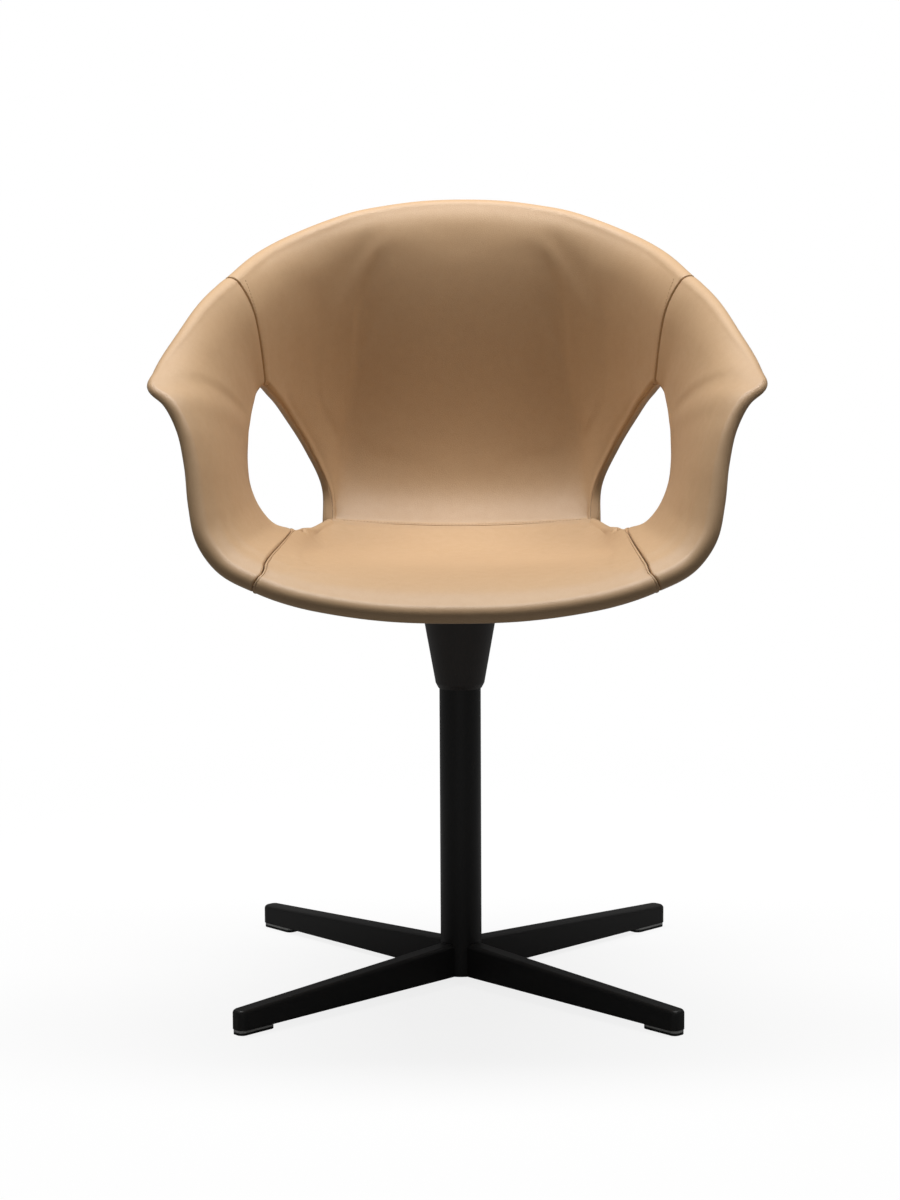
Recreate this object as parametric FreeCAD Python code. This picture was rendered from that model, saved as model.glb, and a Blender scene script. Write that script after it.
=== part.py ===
import FreeCAD, Part
import math
import os

from FreeCAD import Vector

# Pedestal swivel armchair: an upholstered bucket shell with a teardrop opening on each
# side, a tapered swivel housing, a round column and a four-blade star foot on flat glides.
# Millimetres, +Z up. The origin is on the floor under the column axis, the sitter faces -Y.

# Driving dimensions of the foot and the column
TUBE_R = 21.2            # 42.4 mm standard round tube
TUBE_WALL = 2.6
TUBE_TOP = 392.0
FOOT_REACH = 305.5       # column axis to the tip of a blade
BLADE_WIDTH = 19.0
BLADE_UNDER = 5.0        # underside of the blades above the floor
BLADE_TOP_HUB = 39.0     # top edge of a blade at the column
BLADE_TOP_TIP = 24.5     # top edge of a blade at its tip
BLADE_EDGE_R = 4.0
BLADE_TIP_R = 7.5
GLIDE_LENGTH = 44.0
GLIDE_WIDTH = 16.0
GLIDE_HALF = 2.5         # thickness of the carrier and of the pad
PEG_R = 2.5
PEG_RADII = (272.0, 294.0)

# Driving dimensions of the swivel
HOUSING_FOOT = 305.0     # lower edge of the tapered housing
HOUSING_NECK = 310.0     # where its chamfer ends and its taper starts
HOUSING_TOP = 400.0
HOUSING_NECK_R = 25.0
HOUSING_TOP_R = 41.0
HOUSING_WALL = 4.0
BUSH_R = 23.0
BUSH_LENGTH = 22.0
RUN_GAP = 0.05           # radial running clearance on the column
PLATE_R = 70.0
PLATE_T = 4.0
SPACER_R = 73.0
SPACER_BORE_R = 42.0
HOUSING_SCREW_PCR = 33.0
PLATE_SCREW_PCR = 58.0
BOLT_R = 6.0

# Driving dimensions of the upholstered shell
CORE_HALF = 4.0          # half thickness of the moulded shell
SKIN_GAP = 0.25          # between the moulded shell and the upholstery on it
LIP = 12.0               # how far the padded roll of the rim laps under the shell's edge
SEAM_GAP = 0.3           # half the width of a sewn seam
SEAM_SLOT = 3.6          # the moulded shell stands back this far from the seat-back seam

# The shell is drawn on planar ribs, seat to arm to back, for the right half. Each rib runs
# from the side opening, or from the seat seam, out to the middle of the rim's padded roll:
# name, inner end, rim end, side it is seen from, rise at the inner end and flare at the
# rim (degrees from the chord), reach of the flare, half thickness inside and at the rim.
SEAT_RIBS = [
    ("seat_middle", (0, 162, 441.5), (0, -265, 425.5), (0, 0, 1), -22, -14, 0.33, 11, 12.5),
    ("seat_quarter", (69.5, 161, 443.5), (65.5, -264, 427.5), (0, 0, 1), -22, -13, 0.33, 11, 12.5),
    ("seat_corner", (140.5, 152, 451.5), (111.5, -258, 432.5), (0, 0, 1), -20, -12, 0.33, 9, 12.5),
    ("seat_wing_1", (152, 102, 449.5), (147.5, -249, 438.5), (-0.15, 0, 1), -10, -11, 0.33, 8, 12.5),
    ("seat_wing_2", (160.5, 46, 455), (174, -239, 445.5), (-0.3, 0, 0.95), -3, -10, 0.33, 8, 12.5),
    ("front_seam", (173, 0, 460.5), (185.5, -233.5, 449.5), (-0.5, 0, 0.86), 2, -10, 0.33, 8, 12.5),
]
ARM_RIBS = [
    ("arm_corner_1", (192.5, -10, 469), (219, -219, 465.5), (-0.75, 0, 0.66), 8, -11, 0.33, 8, 12.5),
    ("arm_corner_2", (207.5, -13, 486.5), (234.5, -209, 485), (-0.92, 0, 0.38), 12, -12, 0.33, 8, 12.5),
    ("arm_front_1", (218, -11, 510), (243, -193, 515.5), (-1, 0, 0.1), 12, -11, 0.33, 8, 12.5),
    ("arm_front_2", (222, -3, 536), (249.5, -175, 553.5), (-1, 0, 0.15), 9, -8, 0.3, 8, 11.5),
    ("arm_front_3", (222.5, 10, 557.5), (260.5, -160, 589.5), (-0.97, 0, 0.25), 6, -9, 0.33, 8, 10),
    ("arm_front_4", (222.5, 20, 568.5), (276.5, -149, 614), (-0.93, 0, 0.36), 8, -18, 0.35, 8, 8.5),
    ("arm_tip", (222, 30, 575.5), (291.5, -137, 623.5), (-0.88, 0, 0.47), 10, -28, 0.36, 8, 7),
    ("arm_top_1", (221.5, 42, 583.5), (288.5, -108, 635.5), (-0.87, 0, 0.5), 11, -27, 0.36, 8, 8),
    ("arm_top_2", (220, 60, 594.5), (271, -36, 664.5), (-0.88, -0.1, 0.45), 11, -19, 0.35, 8, 9.5),
    ("arm_top_3", (217.5, 78, 605.5), (249.5, 39, 694.5), (-0.85, -0.35, 0.35), 9, -16, 0.33, 8, 11),
    ("back_seam", (209.5, 96, 614), (231, 84.5, 710.5), (-0.75, -0.62, 0.2), 6, -16, 0.33, 8, 12),
]
BACK_RIBS = [
    ("back_side_1", (196, 122, 598.5), (198, 155, 737.5), (-0.6, -0.78, 0.2), 2, -15, 0.33, 8, 12),
    ("back_side_2", (181, 154, 570.5), (169, 192, 751.5), (-0.45, -0.87, 0.2), -3, -14, 0.33, 8, 12),
    ("back_side_3", (162, 174, 533.5), (139.5, 217, 763), (-0.3, -0.93, 0.2), -11, -13, 0.33, 8, 12),
    ("back_side_4", (144.5, 175, 492.5), (111.5, 235, 772), (-0.2, -0.96, 0.2), -22, -13, 0.33, 8, 12),
    ("back_corner", (140.5, 152, 451.5), (83.5, 249, 777.5), (-0.1, -0.96, 0.2), -50, -12, 0.33, 9, 12),
    ("back_quarter", (69.5, 161, 443.5), (42, 261, 782.5), (0, -0.96, 0.28), -50, -13, 0.33, 11, 12.5),
    ("back_middle", (0, 162, 441.5), (0, 265, 784), (0, -0.96, 0.28), -50, -13, 0.33, 11, 12.5),
]
SEAM_RIBS = ("seat_middle", "seat_quarter", "back_quarter", "back_middle")
CORNER_RIBS = ("seat_corner", "back_corner")
STATIONS = 7             # even steps that carry a rib's long curves
CORNER_FADE = 90.0       # how far into a panel its edge's sharp corner is felt
RING_PLACES = {}         # spacing of those steps where panels share their edges


def unit(v):
    return v * (1.0 / v.Length)


class Rib:
    # A planar cubic from the inner end to the rim end, bulging away from its chord.
    def __init__(self, row, side=1):
        name, inner, rim, facing, rise, flare, reach, half_in, half_rim = row
        self.name = name
        self.a = Vector(side * inner[0], inner[1], inner[2])
        self.d = Vector(side * rim[0], rim[1], rim[2])
        chord = self.d - self.a
        along = unit(chord)
        face = Vector(side * facing[0], facing[1], facing[2])
        self.face = unit(face - along * along.dot(face))
        start = self.turned(along, rise)
        end = self.turned(along, flare)
        self.b = self.a + start * (chord.Length / 3.0)
        self.c = self.d - end * (chord.Length * reach)
        self.rim_speed = 3.0 * chord.Length * reach
        self.inner_speed = chord.Length
        self.half_in = float(half_in)
        self.half_rim = float(half_rim)
        self.across = self.face.cross(along)

    def turned(self, along, degrees):
        angle = math.radians(degrees)
        return along * math.cos(angle) + self.face * math.sin(angle)

    def point(self, t):
        s = 1.0 - t
        ends = self.a * s ** 3 + self.d * t ** 3
        return ends + self.b * (3 * s * s * t) + self.c * (3 * s * t * t)

    def along(self, t):
        s = 1.0 - t
        first = (self.b - self.a) * (s * s)
        middle = (self.c - self.b) * (2 * s * t)
        last = (self.d - self.c) * (t * t)
        return unit(first + middle + last)

    def normal(self, t):
        along = self.along(t)
        return unit(self.face - along * along.dot(self.face))

    def half(self, t):
        return self.half_in + (self.half_rim - self.half_in) * t

    def lifted(self, t, height):
        return self.point(t) + self.normal(t) * height

    def inner_inset(self, distance):
        return distance / self.inner_speed

    def rim_inset(self, distance):
        return 1.0 - distance / self.rim_speed

    def around_inner(self, angle):
        # a point of the rounded inner edge, the angle counted from the seat side
        turn = math.radians(angle)
        step = self.normal(0) * math.cos(turn) - self.along(0) * math.sin(turn)
        return self.a + step * self.half_in

    def around_rim(self, angle):
        turn = math.radians(angle)
        step = self.normal(1) * math.cos(turn) + self.along(1) * math.sin(turn)
        return self.d + step * self.half_rim


def steps(rib):
    # the same places along a rib for every layer, short of the rim's lip
    stop = rib.rim_inset(LIP + 0.5)
    return [stop * k / STATIONS for k in range(1, STATIONS)], stop


def inner_end(rib, lift):
    # the upholstery's inner edge, three points from the middle layer to the outer face
    sign = 1.0 if lift > 0 else -1.0
    if rib.name in SEAM_RIBS or rib.name in CORNER_RIBS:
        pull = rib.along(0)
        low = rib.a + rib.normal(0) * lift + pull * 2 * SEAM_GAP
        high = rib.a + rib.normal(0) * (sign * rib.half_in) + pull * 2 * SEAM_GAP
        return [low, (low + high) * 0.5 - pull * SEAM_GAP, high]
    wedge = math.degrees(math.acos(abs(lift) / rib.half_in))
    base = 0.0 if lift > 0 else 180.0
    return [rib.around_inner(base + sign * wedge * part) for part in (1.0, 0.5, 0.0)]


def pad_strips(rib):
    # padded inner cover: the face with the roll round the rim and its lip, the step up to
    # the shell, the side that lies on the shell, and the inner edge
    layer = CORE_HALF + SKIN_GAP
    inside, stop = steps(rib)
    edge = inner_end(rib, layer)
    lip = rib.rim_inset(LIP)
    face = [edge[-1]] + [rib.lifted(t, rib.half(t)) for t in inside + [stop, 1.0]]
    roll = [rib.around_rim(angle) for angle in (45, 90, 135, 180)]
    under = [rib.lifted(t, layer) for t in [lip] + inside[::-1]] + [edge[0]]
    skin = face + roll + [rib.lifted(lip, -rib.half(lip))]
    return [skin, [skin[-1], under[0]], under, edge]


def core_strips(rib, half=CORE_HALF):
    # moulded shell: its face, its edge at the rim, its underside and its inner edge
    start = 0.0
    if rib.name in SEAM_RIBS or rib.name in CORNER_RIBS:
        start = rib.inner_inset(SEAM_SLOT)
    inside, stop = steps(rib)
    places = [start] + inside + [stop]
    face = [rib.lifted(t, half) for t in places]
    under = [rib.lifted(t, -half) for t in places[::-1]]
    return [face, [face[-1], under[0]], under, [under[-1], face[0]]]


def cutter_strips(rib):
    return core_strips(rib, CORE_HALF + SKIN_GAP)


def cover_strips(rib):
    # outer cover: the thinner upholstery on the back and underside of the shell
    layer = CORE_HALF + SKIN_GAP
    inside, stop = steps(rib)
    edge = inner_end(rib, -layer)
    outer = [edge[-1]] + [rib.lifted(t, -rib.half(t)) for t in inside + [stop]]
    inner = [rib.lifted(t, -layer) for t in [stop] + inside[::-1]] + [edge[0]]
    return [outer, [outer[-1], inner[0]], inner, edge]


def welt_strips(rib):
    # edge binding of the side opening, flush with both covers
    if rib.name in CORNER_RIBS:
        pull = rib.along(0)
        rise = rib.normal(0) * CORE_HALF
        outer = rib.a + pull * 2 * SEAM_GAP
        back = rib.a + pull * (SEAM_SLOT - 0.4)
        nose = [outer + rise, rib.a + pull * SEAM_GAP, outer - rise]
    else:
        wedge = math.degrees(math.acos(CORE_HALF / rib.half_in))
        back = rib.a - rib.along(0) * 0.3
        rise = rib.normal(0) * CORE_HALF
        nose = [rib.around_inner(wedge), rib.around_inner(90), rib.around_inner(180 - wedge)]
    low = back - rise
    high = back + rise
    return [nose, [nose[-1], low], [low, high], [high, nose[0]]]


def spacing(ribs):
    # how far apart neighbouring ribs stand, eased so that close ribs don't make waves
    places = [0.0]
    for first, second in zip(ribs, ribs[1:]):
        gap = (first.point(0.5) - second.point(0.5)).Length
        places.append(places[-1] + math.sqrt(max(gap, 4.0)))
    return places


def station_places(points):
    places = [0.0]
    for first, second in zip(points, points[1:]):
        places.append(places[-1] + math.sqrt((first - second).Length))
    return places


def spline(points, places, heads=None):
    result = Part.BSplineCurve()
    if heads is None:
        result.interpolate(Points=points, Parameters=places)
    else:
        result.interpolate(Points=points, Parameters=places, Scale=False,
                           InitialTangent=heads[0], FinalTangent=heads[1])
    return result


def runs_between_corners(ribs):
    inside = range(1, len(ribs) - 1)
    stops = [0] + [i for i in inside if ribs[i].name in CORNER_RIBS] + [len(ribs) - 1]
    return list(zip(stops, stops[1:]))


def curves_of_row(ribs, row, us):
    # one curve for each run of ribs: they meet smoothly out in the panel, but at the panel's
    # inner edge each run keeps its own line, because the edge turns sharply at a corner rib
    runs = runs_between_corners(ribs)
    whole = spline(row, us)
    if len(runs) == 1:
        return [whole]
    corner = runs[0][1]
    from_edge = (row[corner] - ribs[corner].a).Length
    sharp = min(1.0, max(0.0, (CORNER_FADE - from_edge) / (CORNER_FADE - 14.0)))
    curves = []
    for first, last in runs:
        points = row[first:last + 1]
        places = us[first:last + 1]
        own = spline(points, places)
        heads = []
        for place in (places[0], places[-1]):
            smooth = whole.getD1(place)[1]
            edge = own.getD1(place)[1]
            heads.append(smooth * (1.0 - sharp) + edge * sharp)
        curves.append(spline(points, places, heads))
    return curves


def skin_face(along, vs):
    # smooth face over one run of curves, one curve for each station
    columns = list(zip(*[one.getPoles() for one in along]))
    across = [spline(list(column), vs) for column in columns]
    surface = Part.BSplineSurface()
    surface.buildFromPolesMultsKnots(
        [one.getPoles() for one in across],
        along[0].getMultiplicities(), across[0].getMultiplicities(),
        along[0].getKnots(), across[0].getKnots(), False, False,
        along[0].Degree, across[0].Degree)
    return surface.toShape()


RING_STRIPS = (core_strips, welt_strips)


def strip_faces(ribs, strips, us, shifts):
    # the faces of one panel, with its two open ends' edges for the caps
    sections = []
    for rib, shift in zip(ribs, shifts):
        move = rib.across * shift
        sections.append([[point + move for point in strip] for strip in strips(rib)])
    faces = []
    first_end = []
    last_end = []
    for k, strip in enumerate(sections[0]):
        rows = [[section[k][j] for section in sections] for j in range(len(strip))]
        runs = list(zip(*[curves_of_row(ribs, row, us) for row in rows]))
        if len(strip) == 2:
            for low, high in runs:
                faces.append(Part.makeRuledSurface(low.toShape(), high.toShape()))
            first_end.append(Part.LineSegment(rows[0][0], rows[1][0]).toShape())
            last_end.append(Part.LineSegment(rows[0][-1], rows[1][-1]).toShape())
        else:
            vs = station_places(sections[len(sections) // 2][k])
            if strips in RING_STRIPS:
                vs = RING_PLACES.setdefault((strips.__name__, k), vs)
            for run in runs:
                faces.append(skin_face(run, vs))
            first_end.append(spline([row[0] for row in rows], vs).toShape())
            last_end.append(spline([row[-1] for row in rows], vs).toShape())
    return faces, first_end, last_end


def closed_solid(faces):
    shell = Part.makeCompound(faces)
    shell.sewShape(0.01)
    solid = Part.Solid(shell.Shells[0])
    if solid.Volume < 0:
        solid.reverse()
    return solid


def panel(ribs, strips, gap=SEAM_GAP):
    # one sewn panel: its first and last ribs stand off from the seams that they share
    shifts = [0.0] * len(ribs)
    shifts[0] = gap
    shifts[-1] = -gap
    faces, first_end, last_end = strip_faces(ribs, strips, spacing(ribs), shifts)
    caps = [Part.Face(Part.Wire(Part.__sortEdges__(end))) for end in (first_end, last_end)]
    return closed_solid(faces + caps)


def ring_of_panels(groups, strips):
    # one moulding all round: the panels' faces meet rib to rib with no caps between them
    faces = []
    for ribs in groups:
        faces += strip_faces(ribs, strips, spacing(ribs), [0.0] * len(ribs))[0]
    return closed_solid(faces)


def opening_binding(groups):
    # one strip round an opening, laid over the same runs of ribs as the panels beside it
    faces = []
    ends = []
    for ribs in groups:
        skins, first, last = strip_faces(ribs, welt_strips, spacing(ribs), [0.0] * len(ribs))
        faces += skins
        ends += [first, last]
    for end in (ends[0], ends[-1]):
        faces.append(Part.Face(Part.Wire(Part.__sortEdges__(end))))
    return closed_solid(faces)


def cylinder(radius, low, high, x=0.0, y=0.0):
    return Part.makeCylinder(radius, high - low, Vector(x, y, low))


def ring(outer, inner, low, high):
    return cylinder(outer, low, high).cut(cylinder(inner, low - 1, high + 1))


def turned_profile(points):
    face = Part.Face(Part.makePolygon([Vector(r, 0, z) for r, z in points + points[:1]]))
    return face.revolve(Vector(0, 0, 0), Vector(0, 0, 1), 360)


def polar(radius, count, start=0.0):
    places = []
    for i in range(count):
        angle = math.radians(start + 360.0 * i / count)
        places.append((radius * math.cos(angle), radius * math.sin(angle)))
    return places


def mirrored(shape):
    return shape.mirror(Vector(0, 0, 0), Vector(1, 0, 0))


def both(ribs):
    # ribs of a panel that crosses the middle: left ones mirrored, the middle one once
    right = [Rib(row) for row in ribs]
    left = [Rib(row, -1) for row in ribs]
    return left, right


def blade():
    inside = TUBE_R - 4.0
    side = [(inside, BLADE_UNDER), (FOOT_REACH, BLADE_UNDER),
            (FOOT_REACH, BLADE_TOP_TIP), (inside, BLADE_TOP_HUB)]
    outline = [Vector(r, -BLADE_WIDTH / 2, z) for r, z in side + side[:1]]
    solid = Part.Face(Part.makePolygon(outline)).extrude(Vector(0, BLADE_WIDTH, 0))
    uprights = [e for e in solid.Edges
                if min(v.X for v in e.Vertexes) > FOOT_REACH - 1
                and abs(e.Vertexes[0].Z - e.Vertexes[1].Z) > 1]
    solid = solid.makeFillet(BLADE_TIP_R, uprights)
    rims = [e for e in solid.Edges
            if min(v.Z for v in e.Vertexes) > BLADE_TOP_TIP - 1
            and max(v.X for v in e.Vertexes) > inside + 1]
    solid = solid.makeFillet(BLADE_EDGE_R, rims)
    solid = solid.cut(cylinder(TUBE_R, 0, 60))
    for radius in PEG_RADII:
        solid = solid.cut(cylinder(PEG_R + RUN_GAP, 0, BLADE_UNDER + 7, radius))
    return solid


def glide_plan(low, high):
    start = FOOT_REACH - 0.5 - GLIDE_LENGTH
    box = Part.makeBox(GLIDE_LENGTH, GLIDE_WIDTH, high - low, Vector(start, -GLIDE_WIDTH / 2, low))
    corners = [e for e in box.Edges if abs(e.Vertexes[0].Z - e.Vertexes[1].Z) > 1]
    return box.makeFillet(6.0, corners)


def glide_carrier():
    solid = glide_plan(GLIDE_HALF, BLADE_UNDER)
    for radius in PEG_RADII:
        solid = solid.fuse(cylinder(PEG_R, GLIDE_HALF + 1, BLADE_UNDER + 6, radius))
    return solid.removeSplitter()


def housing():
    slope = (HOUSING_TOP_R - HOUSING_NECK_R) / (HOUSING_TOP - HOUSING_NECK)
    low_seat = HOUSING_FOOT + 3.5 + BUSH_LENGTH
    high_seat = HOUSING_TOP - BUSH_LENGTH
    low_wall = HOUSING_NECK_R + (low_seat - HOUSING_NECK) * slope - HOUSING_WALL
    high_wall = HOUSING_NECK_R + (high_seat - 10 - HOUSING_NECK) * slope - HOUSING_WALL
    profile = [
        (TUBE_R + 0.6, HOUSING_FOOT),
        (HOUSING_NECK_R - 2.6, HOUSING_FOOT),
        (HOUSING_NECK_R, HOUSING_NECK),
        (HOUSING_TOP_R, HOUSING_TOP),
        (BUSH_R, HOUSING_TOP),
        (BUSH_R, high_seat),
        (BUSH_R + 2.0, high_seat),
        (high_wall, high_seat - 10),
        (low_wall, low_seat + 4),
        (BUSH_R, low_seat),
        (BUSH_R, HOUSING_FOOT + 3.5),
        (TUBE_R + 0.6, HOUSING_FOOT + 3.5),
    ]
    solid = turned_profile(profile)
    for x, y in polar(HOUSING_SCREW_PCR, 4):
        solid = solid.cut(cylinder(2.5, HOUSING_TOP - 14, HOUSING_TOP + 1, x, y))
    return solid


def cap_screws(radius, head_r, head_h, shank_r, seat, tip, count, pcr, start=0.0):
    # one row of equal socket screws, head on the seat plane and shank towards the tip
    up = 1 if seat > tip else -1
    screws = []
    for x, y in polar(pcr, count, start):
        shank = cylinder(shank_r, min(seat, tip), max(seat, tip), x, y)
        if up > 0:
            head = cylinder(head_r, seat, seat + head_h, x, y)
            drive = cylinder(radius, seat + head_h / 2, seat + head_h + 1, x, y)
        else:
            head = cylinder(head_r, seat - head_h, seat, x, y)
            drive = cylinder(radius, seat - head_h - 1, seat - head_h / 2, x, y)
        screws.append(shank.fuse(head).removeSplitter().cut(drive))
    return Part.makeCompound(screws)


def build():
    parts = {}

    # foot: four blades on the diagonals, welded to the column
    corners = {"rear_right": 45, "rear_left": 135, "front_left": 225, "front_right": 315}
    leg = blade()
    carrier = glide_carrier()
    pad = glide_plan(0.0, GLIDE_HALF)
    for place, angle in corners.items():
        for label, shape in (("foot_blade", leg), ("glide_carrier", carrier), ("glide_pad", pad)):
            copy = shape.copy()
            copy.rotate(Vector(0, 0, 0), Vector(0, 0, 1), angle)
            parts[label + "_" + place] = copy

    # column with its closing cap below and the threaded plug on top
    bore = TUBE_R - TUBE_WALL
    parts["column_tube"] = ring(TUBE_R, bore, BLADE_UNDER, TUBE_TOP)
    parts["column_foot_cap"] = cylinder(bore, BLADE_UNDER + 1, BLADE_UNDER + 9)
    plug = cylinder(bore, TUBE_TOP - 22, TUBE_TOP).fuse(cylinder(TUBE_R, TUBE_TOP, TUBE_TOP + 4))
    plug = plug.removeSplitter()
    parts["column_plug"] = plug.cut(cylinder(BOLT_R, TUBE_TOP - 23, TUBE_TOP + 5))
    parts["thrust_washer"] = ring(TUBE_R - 0.5, BOLT_R + 1.5, TUBE_TOP + 4, HOUSING_TOP)

    # swivel: the housing turns on two bushes round the column, held by the centre bolt
    parts["swivel_housing"] = housing()
    low = HOUSING_FOOT + 3.5
    parts["bush_lower"] = ring(BUSH_R, TUBE_R + RUN_GAP, low, low + BUSH_LENGTH)
    parts["bush_upper"] = ring(BUSH_R, TUBE_R + RUN_GAP, HOUSING_TOP - BUSH_LENGTH, HOUSING_TOP - 4)
    plate_top = HOUSING_TOP + PLATE_T
    plate = ring(PLATE_R, BOLT_R + 1.0, HOUSING_TOP, plate_top)
    for x, y in polar(HOUSING_SCREW_PCR, 4):
        plate = plate.cut(cylinder(2.5, HOUSING_TOP - 1, plate_top + 1, x, y))
    for x, y in polar(PLATE_SCREW_PCR, 4, 45):
        plate = plate.cut(cylinder(3.0, HOUSING_TOP - 1, plate_top + 1, x, y))
    parts["seat_plate"] = plate
    parts["bolt_washer"] = ring(15.0, BOLT_R, plate_top, plate_top + 2)
    bolt = cylinder(BOLT_R, TUBE_TOP - 18, plate_top + 2).fuse(
        cylinder(10.0, plate_top + 2, plate_top + 10)).removeSplitter()
    parts["swivel_bolt"] = bolt.cut(cylinder(5.0, plate_top + 5, plate_top + 11))
    parts["housing_screws"] = cap_screws(
        2.0, 4.25, 4.5, 2.5, plate_top, HOUSING_TOP - 12, 4, HOUSING_SCREW_PCR)

    # shell: seat, two arms and back on the ribs, right half mirrored to the left
    seat_left, seat_right = both(SEAT_RIBS)
    back_left, back_right = both(BACK_RIBS)
    arm = [seat_right[-1]] + [Rib(row) for row in ARM_RIBS]
    seam = Rib(ARM_RIBS[-1])
    seam_left = Rib(ARM_RIBS[-1], -1)
    arm_left = [seam_left] + [Rib(row, -1) for row in ARM_RIBS[-2::-1]] + [seat_left[-1]]
    seat = seat_left[:0:-1] + seat_right
    back = [seam] + back_right + back_left[-2::-1] + [seam_left]

    parts["seat_pad"] = panel(seat, pad_strips)
    parts["back_pad"] = panel(back, pad_strips)
    parts["arm_pad_right"] = panel(arm, pad_strips)
    parts["arm_pad_left"] = mirrored(parts["arm_pad_right"])
    parts["back_outer_cover"] = panel(back, cover_strips)
    parts["arm_outer_cover_right"] = panel(arm, cover_strips)
    parts["arm_outer_cover_left"] = mirrored(parts["arm_outer_cover_right"])
    under = panel(seat, cover_strips)
    parts["seat_under_cover"] = under.cut(cylinder(SPACER_R + 1.5, 380, 480))

    parts["opening_welt_right"] = opening_binding([seat_right[2:], arm, [seam] + back_right[:-2]])
    parts["opening_welt_left"] = mirrored(parts["opening_welt_right"])
    core = ring_of_panels([seat, arm, back, arm_left], core_strips)

    # spacer block between the flat seat plate and the curved shell
    cutter = panel(seat, cutter_strips)
    block = ring(SPACER_R, SPACER_BORE_R, plate_top, 440).cut(cutter)
    block = min(block.Solids, key=lambda solid: solid.CenterOfMass.z)
    for x, y in polar(PLATE_SCREW_PCR, 4, 45):
        screw_hole = cylinder(3.0, HOUSING_TOP - 1, 440, x, y)
        block = block.cut(screw_hole)
        core = core.cut(screw_hole)
    parts["seat_spacer"] = block
    parts["shell_core"] = core
    parts["plate_screws"] = cap_screws(
        2.5, 5.25, 3.0, 3.0, HOUSING_TOP, plate_top + 19, 4, PLATE_SCREW_PCR, 45)
    return parts


os.makedirs("parts", exist_ok=True)
pieces = build()
for node, shape in pieces.items():
    shape.exportStep("parts/" + node + ".step")
    print(node, shape.isValid(), len(shape.Solids), round(shape.Volume / 1000.0, 1))
box = Part.makeCompound(list(pieces.values())).BoundBox
print("size", round(box.XLength, 1), round(box.YLength, 1), round(box.ZLength, 1))
print("middle", round(box.Center.x, 2), round(box.Center.y, 2), "low", round(box.ZMin, 2))
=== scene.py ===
import bmesh
import bpy
import math
from mathutils import Matrix, Vector


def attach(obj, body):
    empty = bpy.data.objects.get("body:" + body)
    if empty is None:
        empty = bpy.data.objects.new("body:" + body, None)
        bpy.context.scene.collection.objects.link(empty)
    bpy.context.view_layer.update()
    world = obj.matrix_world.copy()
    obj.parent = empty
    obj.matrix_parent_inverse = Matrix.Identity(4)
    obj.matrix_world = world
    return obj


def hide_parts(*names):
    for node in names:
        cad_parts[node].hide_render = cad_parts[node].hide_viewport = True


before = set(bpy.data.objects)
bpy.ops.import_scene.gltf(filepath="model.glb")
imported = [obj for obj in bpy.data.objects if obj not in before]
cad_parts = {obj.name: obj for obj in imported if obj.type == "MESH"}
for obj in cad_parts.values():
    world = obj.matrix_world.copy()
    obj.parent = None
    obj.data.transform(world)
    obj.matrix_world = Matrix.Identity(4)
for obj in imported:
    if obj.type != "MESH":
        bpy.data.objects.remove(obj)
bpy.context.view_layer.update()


# Star foot
# Four flat steel blades on the diagonals, cut from thick plate with rounded tips and
# welded to the column. They are powder coated in satin black, with the fine
# orange-peel that such a coat has.
FOOT_BLACK = (0.0150, 0.0146, 0.0144, 1.0)
BLADES = ["foot_blade_rear_right", "foot_blade_rear_left",
          "foot_blade_front_left", "foot_blade_front_right"]


class Link:
    """One output of a node. Sums and products of links add their own Math nodes."""

    def __init__(self, finish, socket):
        self.finish = finish
        self.socket = socket

    def worked(self, operation, *values):
        return self.finish.node("ShaderNodeMath", {"operation": operation}, dict(enumerate(values)))

    def __add__(self, other):
        return self.worked("ADD", self, other)

    def __sub__(self, other):
        return self.worked("SUBTRACT", self, other)

    def __rsub__(self, other):
        return self.worked("SUBTRACT", other, self)

    def __mul__(self, other):
        return self.worked("MULTIPLY", self, other)

    __radd__ = __add__
    __rmul__ = __mul__


class Finish:
    """A material in the making, with its surface shader ready for values and links."""

    def __init__(self, name):
        self.material = bpy.data.materials.new(name)
        self.material.use_nodes = True
        self.tree = self.material.node_tree
        self.surface = self.tree.nodes["Principled BSDF"]

    def put(self, socket, value):
        if isinstance(value, Link):
            self.tree.links.new(value.socket, socket)
        else:
            socket.default_value = value

    def node(self, kind, settings, sockets, output=0):
        new = self.tree.nodes.new(kind)
        for name, value in settings.items():
            setattr(new, name, value)
        for name, value in sockets.items():
            self.put(new.inputs[name], value)
        return Link(self, new.outputs[output])

    def shade(self, sockets):
        for name, value in sockets.items():
            self.put(self.surface.inputs[name], value)
        return self.material


def powder_coat(name, colour, roughness, gloss):
    coat = Finish(name)
    place = coat.node("ShaderNodeTexCoord", {}, {}, "Object")
    peel = coat.node("ShaderNodeTexNoise", {}, {"Vector": place, "Scale": 420.0, "Detail": 2.0})
    cloud = coat.node("ShaderNodeTexNoise", {}, {"Vector": place, "Scale": 9.0, "Detail": 3.0})
    lighter = tuple(part * 1.35 for part in colour[:3]) + (1.0,)
    tone = coat.node("ShaderNodeMix", {"data_type": "RGBA"}, {0: cloud, 6: colour, 7: lighter}, 2)
    bumps = coat.node("ShaderNodeBump", {}, {"Strength": 0.35, "Distance": 0.00006, "Height": peel})
    return coat.shade({"Base Color": tone, "Roughness": cloud * 0.1 + roughness, "Normal": bumps,
                       "Specular IOR Level": gloss})


def dress(names, material):
    for name in names:
        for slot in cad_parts[name].material_slots:
            slot.material = material


foot_paint = powder_coat("foot_paint", FOOT_BLACK, 0.38, 0.35)
dress(BLADES, foot_paint)


# Glides
# A two-part glide is pegged under each tip: a clear carrier, drawn as an opaque pale grey
# with the floor light that it carries painted in, and a dark rubbery sole below it. Both are moulded.
CARRIER_PAINTED_LIGHT_GREY = (0.62, 0.62, 0.61, 1.0)
SOLE_GREY = (0.030, 0.030, 0.031, 1.0)


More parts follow.
